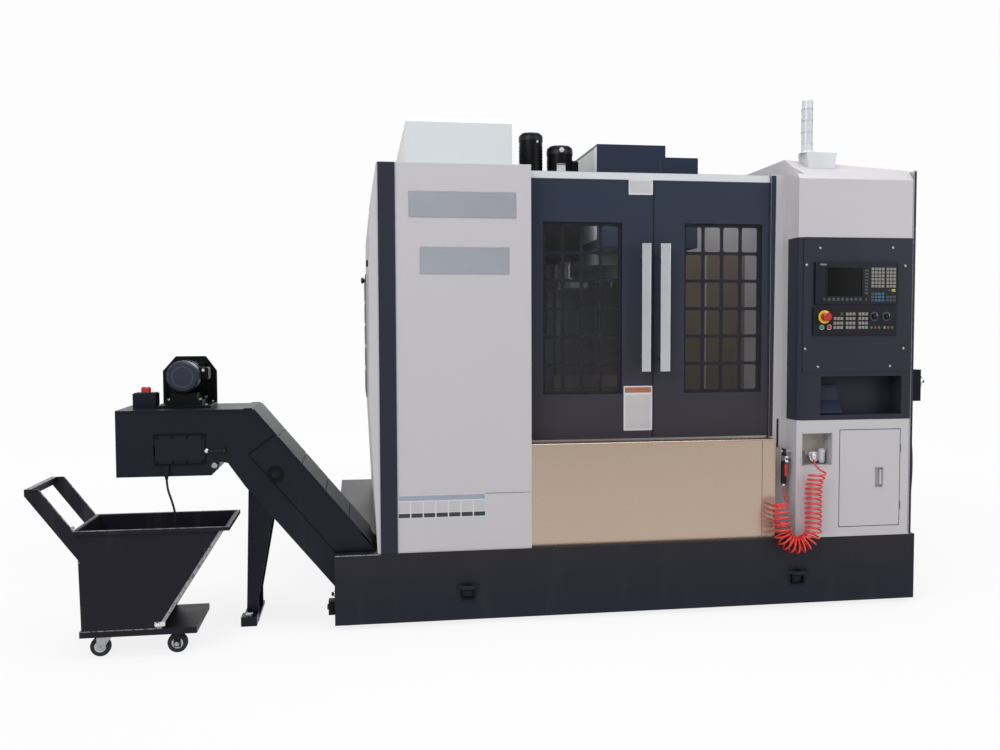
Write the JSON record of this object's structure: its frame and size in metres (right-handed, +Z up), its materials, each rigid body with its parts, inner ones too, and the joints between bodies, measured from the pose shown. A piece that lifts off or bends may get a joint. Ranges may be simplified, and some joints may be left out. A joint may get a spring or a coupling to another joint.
{
  "type": "cnc machining center",
  "caption": "Vertical machining center with sliding doors, operator console, side tool magazine, climbing chip conveyor, coiled air hose and a rolling chip cart.",
  "frame": {"origin": "on the floor, at the middle of the rectangle of four anchor holes, which is the middle of the base's footprint", "axes": "+Z up, +X to the operator's right along the doors, +Y from the front doors to the back"},
  "size_m": [3.779, 2.2193, 2.27],
  "materials": {
    "white_paint": "fine textured warm white powder coat",
    "dark_paint": "textured dark blue grey powder coat",
    "base_paint": "semi gloss dark grey enamel",
    "conveyor_paint": "semi gloss dark grey enamel",
    "cart_paint": "satin dark grey paint",
    "casting": "painted cast iron with ground guide faces",
    "ground_steel": "ground steel",
    "stainless": "brushed stainless sheet",
    "window": "tinted safety glass",
    "silver": "satin anodised aluminium",
    "light_metal": "pale grey paint",
    "black_motor": "satin black paint",
    "black_plastic": "matte black plastic",
    "screen": "gloss dark display housing",
    "key_grey": "matte membrane key panel",
    "red_plastic": "gloss red plastic",
    "green_plastic": "gloss green plastic",
    "hose_red": "translucent red polyurethane hose",
    "cable_black": "black cable jacket",
    "roller": "hard black rubber",
    "tower": "milky white lamp housing",
    "zinc": "zinc plated steel"
  },
  "bodies": {
    "machine": {"base_tray": "base_paint", "leveling_pads": "zinc", "bed_casting": "casting", "column_casting": "casting", "changer_unit": "black_motor", "left_side_panel": "white_paint", "left_corner_post": "dark_paint", "left_front_panel": "white_paint", "front_apron": "stainless", "door_rails": "ground_steel", "door_post": "white_paint", "right_side_panel": "dark_paint", "rear_wall": "white_paint", "roof_box": "white_paint", "operator_cabinet": "white_paint", "console_box": "dark_paint", "console_hood": "white_paint", "operator_plate": "dark_paint", "display_unit": "screen", "key_panel": "key_grey", "signal_tower": "tower", "air_gun": "black_plastic", "hose_coil": "hose_red", "handwheel_unit": "black_plastic", "handwheel_cable": "cable_black", "conveyor_body": "conveyor_paint", "conveyor_belt": "ground_steel", "conveyor_motor": "black_motor", "conveyor_cable": "cable_black", "conveyor_leg": "conveyor_paint"},
    "saddle": {"saddle": "casting"},
    "table": {"work_table": "ground_steel"},
    "head": {"spindle_head": "casting", "head_cover": "dark_paint"},
    "spindle_shaft": {"spindle": "ground_steel"},
    "magazine_wheel": {"tool_magazine": "light_metal"},
    "swing_arm": {"change_arm": "ground_steel"},
    "left_door": {"door_left": "dark_paint", "door_glass_left": "window", "door_handle_left": "silver"},
    "right_door": {"door_right": "dark_paint", "door_glass_right": "window", "door_handle_right": "silver"},
    "small_door": {"cabinet_door": "white_paint"},
    "rear_door": {"electrical_door": "white_paint"},
    "console_stop": {"console_estop": "red_plastic"},
    "start": {"start_button": "green_plastic"},
    "stop": {"stop_button": "red_plastic"},
    "feed_dial": {"feed_knob": "black_plastic"},
    "spindle_dial": {"spindle_knob": "black_plastic"},
    "pulse_wheel": {"handwheel": "black_plastic"},
    "trigger": {"gun_trigger": "red_plastic"},
    "conveyor_stop": {"conveyor_estop": "red_plastic"},
    "cart": {"cart_tub": "cart_paint", "cart_frame": "cart_paint"},
    "axle_pair": {"cart_wheelset": "roller"},
    "fork_front": {"caster_fork_front": "zinc"},
    "fork_rear": {"caster_fork_rear": "zinc"},
    "roller_front": {"caster_wheel_front": "roller"},
    "roller_rear": {"caster_wheel_rear": "roller"}
  },
  "joints": [
    {"name": "saddle_feed", "type": "slide", "parent": "machine", "child": "saddle", "axis": [0, 1, 0], "range_m": [-0.25, 0.25]},
    {"name": "table_feed", "type": "slide", "parent": "saddle", "child": "table", "axis": [1, 0, 0], "range_m": [-0.4, 0.4]},
    {"name": "head_feed", "type": "slide", "parent": "machine", "child": "head", "axis": [0, 0, 1], "range_m": [-0.5, 0.04]},
    {"name": "spindle_turn", "type": "hinge", "parent": "head", "child": "spindle_shaft", "pos_m": [0.1, -0.32, 1.5], "axis": [0, 0, 1], "continuous": true},
    {"name": "magazine_turn", "type": "hinge", "parent": "machine", "child": "magazine_wheel", "pos_m": [-0.608, -0.32, 1.75], "axis": [1, 0, 0], "continuous": true},
    {"name": "arm_turn", "type": "hinge", "parent": "machine", "child": "swing_arm", "pos_m": [-0.17, -0.32, 1.46], "axis": [0, 0, 1], "range_deg": [0, 180]},
    {"name": "left_door_slide", "type": "slide", "parent": "machine", "child": "left_door", "axis": [-1, 0, 0], "range_m": [0, 0.475]},
    {"name": "right_door_slide", "type": "slide", "parent": "machine", "child": "right_door", "axis": [1, 0, 0], "range_m": [0, 0.475]},
    {"name": "small_door_hinge", "type": "hinge", "parent": "machine", "child": "small_door", "pos_m": [0.9298, -1, 0.576], "axis": [0, 0, 1], "range_deg": [-110, 0]},
    {"name": "rear_door_hinge", "type": "hinge", "parent": "machine", "child": "rear_door", "pos_m": [0.62, 0.9783, 1.15], "axis": [0, 0, 1], "range_deg": [-110, 0]},
    {"name": "console_stop_press", "type": "slide", "parent": "machine", "child": "console_stop", "axis": [0, 1, 0], "range_m": [0, 0.004], "stiffness_N_per_m": 1500, "springref_m": -0.002},
    {"name": "start_press", "type": "slide", "parent": "machine", "child": "start", "axis": [0, 1, 0], "range_m": [0, 0.003], "stiffness_N_per_m": 600, "springref_m": -0.002},
    {"name": "stop_press", "type": "slide", "parent": "machine", "child": "stop", "axis": [0, 1, 0], "range_m": [0, 0.003], "stiffness_N_per_m": 600, "springref_m": -0.002},
    {"name": "feed_dial_turn", "type": "hinge", "parent": "machine", "child": "feed_dial", "pos_m": [1.081, -1.02, 1.3], "axis": [0, 1, 0], "range_deg": [-150, 150]},
    {"name": "spindle_dial_turn", "type": "hinge", "parent": "machine", "child": "spindle_dial", "pos_m": [1.14, -1.02, 1.3], "axis": [0, 1, 0], "range_deg": [-150, 150]},
    {"name": "pulse_wheel_turn", "type": "hinge", "parent": "machine", "child": "pulse_wheel", "pos_m": [1.33, -0.955, 1.005], "axis": [1, 0, 0], "continuous": true},
    {"name": "trigger_pull", "type": "hinge", "parent": "machine", "child": "trigger", "pos_m": [0.69, -0.972, 0.6457], "axis": [1, 0, 0], "range_deg": [0, 3.5], "stiffness_Nm_per_rad": 1, "springref_deg": -11.46},
    {"name": "conveyor_stop_press", "type": "slide", "parent": "machine", "child": "conveyor_stop", "axis": [0, 0, -1], "range_m": [0, 0.004], "stiffness_N_per_m": 1500, "springref_m": -0.002},
    {"name": "cart_roll", "type": "slide", "parent": "machine", "child": "cart", "axis": [1, 0, 0], "range_m": [-0.1, 0.08]},
    {"name": "axle_turn", "type": "hinge", "parent": "cart", "child": "axle_pair", "pos_m": [-1.899, -1.045, 0.038], "axis": [0, 1, 0], "continuous": true},
    {"name": "swivel_front", "type": "hinge", "parent": "cart", "child": "fork_front", "pos_m": [-2.162, -1.16, 0.08], "axis": [0, 0, 1], "continuous": true},
    {"name": "swivel_rear", "type": "hinge", "parent": "cart", "child": "fork_rear", "pos_m": [-2.162, -0.93, 0.08], "axis": [0, 0, 1], "continuous": true},
    {"name": "roller_front_turn", "type": "hinge", "parent": "fork_front", "child": "roller_front", "pos_m": [-2.184, -1.16, 0.038], "axis": [0, 1, 0], "continuous": true},
    {"name": "roller_rear_turn", "type": "hinge", "parent": "fork_rear", "child": "roller_rear", "pos_m": [-2.184, -0.93, 0.038], "axis": [0, 1, 0], "continuous": true}
  ]
}
